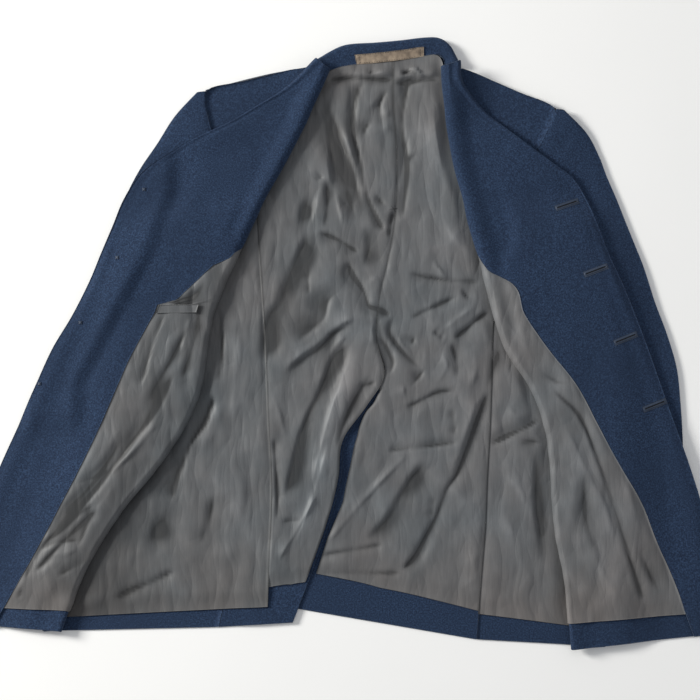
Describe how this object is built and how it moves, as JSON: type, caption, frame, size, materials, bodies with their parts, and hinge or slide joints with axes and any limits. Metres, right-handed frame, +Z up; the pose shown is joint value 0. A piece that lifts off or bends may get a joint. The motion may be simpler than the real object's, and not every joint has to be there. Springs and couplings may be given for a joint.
{
  "type": "service dress jacket",
  "caption": "Wool service dress jacket laid flat on its back, fronts opened out over the sleeves to show lining, facings, collar stand and vent.",
  "frame": {"origin": "middle of the laid-out jacket's outline, on the surface it lies on", "axes": "+X to the wearer's left, across the opened fronts; +Y from hem to collar; +Z up off the surface"},
  "size_m": [1, 0.8156, 0.026],
  "materials": {
    "wool": "matt pressed wool serge, blue-grey",
    "lining": "creased grey satin lining with a soft sheen",
    "loop_tape": "woven cotton tape",
    "button_metal": "plain polished metal"
  },
  "bodies": {
    "root": {"back_right": "wool", "side_right": "wool", "front_right": "wool", "facing_right": "wool", "sleeve_top_right": "wool", "sleeve_under_right": "wool", "lining_back_right": "lining", "lining_side_right": "lining", "lining_front_right": "lining", "back_left": "wool", "side_left": "wool", "front_left": "wool", "facing_left": "wool", "sleeve_top_left": "wool", "sleeve_under_left": "wool", "lining_back_left": "lining", "lining_side_left": "lining", "lining_front_left": "lining", "collar_top": "wool", "collar_under": "wool", "hanger_loop": "loop_tape", "pocket_welt_right": "lining", "button_1": "button_metal", "button_2": "button_metal", "button_3": "button_metal", "button_4": "button_metal"}
  },
  "joints": []
}
